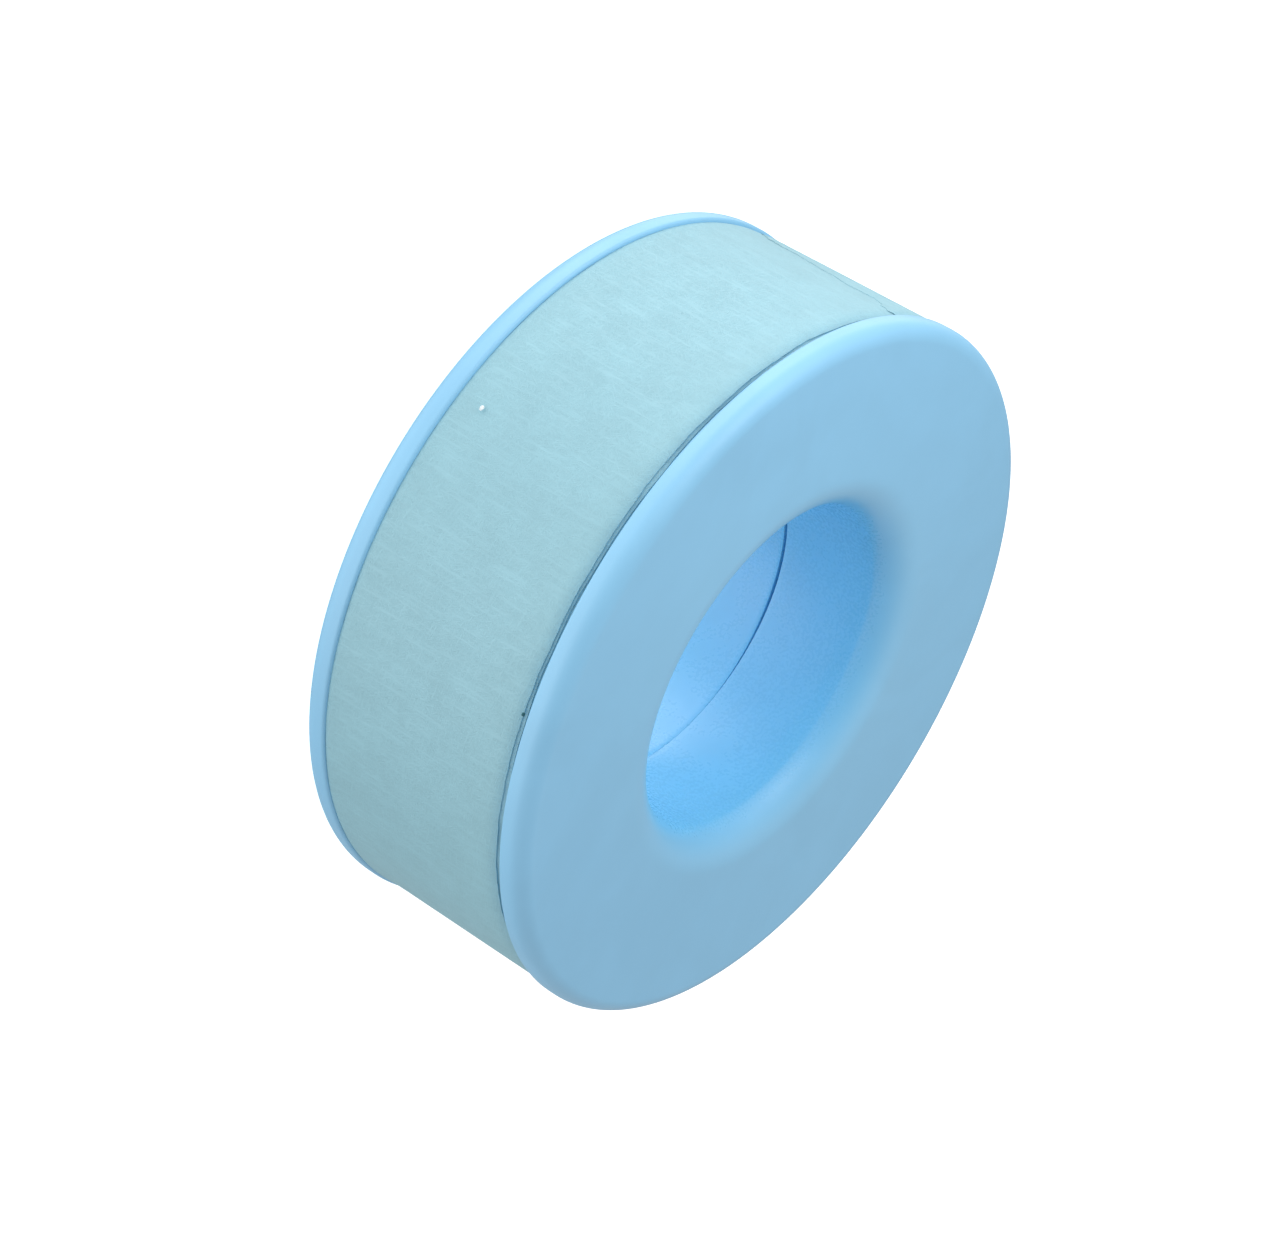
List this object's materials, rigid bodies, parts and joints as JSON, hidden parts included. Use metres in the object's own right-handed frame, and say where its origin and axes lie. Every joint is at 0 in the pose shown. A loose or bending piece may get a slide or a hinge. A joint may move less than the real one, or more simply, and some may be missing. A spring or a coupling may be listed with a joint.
{
  "type": "adhesive tape spool",
  "caption": "Flanged plastic tape spool in halves that lap together, with a flared bore, holding a full roll of narrow soft non-woven tape on a card core, its loose end lifting.",
  "frame": {"origin": "centre of the rear flange's flat outer face, which the spool rests on", "axes": "+Z along the bore, from the rear half to the front half; +X is where the direction of the tape's loose end is counted from"},
  "size_m": [0.044, 0.044, 0.0165],
  "materials": {
    "spool_plastic": "satin moulded light blue plastic",
    "core_card": "plain wound card",
    "tape_cloth": "soft matt non-woven cloth, pale teal blue"
  },
  "bodies": {
    "spool_rear": {"rear_half": "spool_plastic"},
    "spool_front": {"front_half": "spool_plastic"},
    "tape_roll": {"tape_core": "core_card", "tape_winding": "tape_cloth", "tape_outer_wrap": "tape_cloth"},
    "tape_end": {"tape_tail": "tape_cloth"}
  },
  "joints": [
    {"name": "front_pull", "type": "slide", "parent": "spool_rear", "child": "spool_front", "axis": [0, 0, 1], "range_m": [0, 0.022]},
    {"name": "roll_spin", "type": "hinge", "parent": "spool_rear", "child": "tape_roll", "pos_m": [0, 0, 0.0081], "axis": [0, 0, 1], "continuous": true},
    {"name": "tail_peel", "type": "hinge", "parent": "tape_roll", "child": "tape_end", "pos_m": [-0.02074, 0.00714, 0.0081], "axis": [0, 0, -1], "range_deg": [0, 70]}
  ]
}
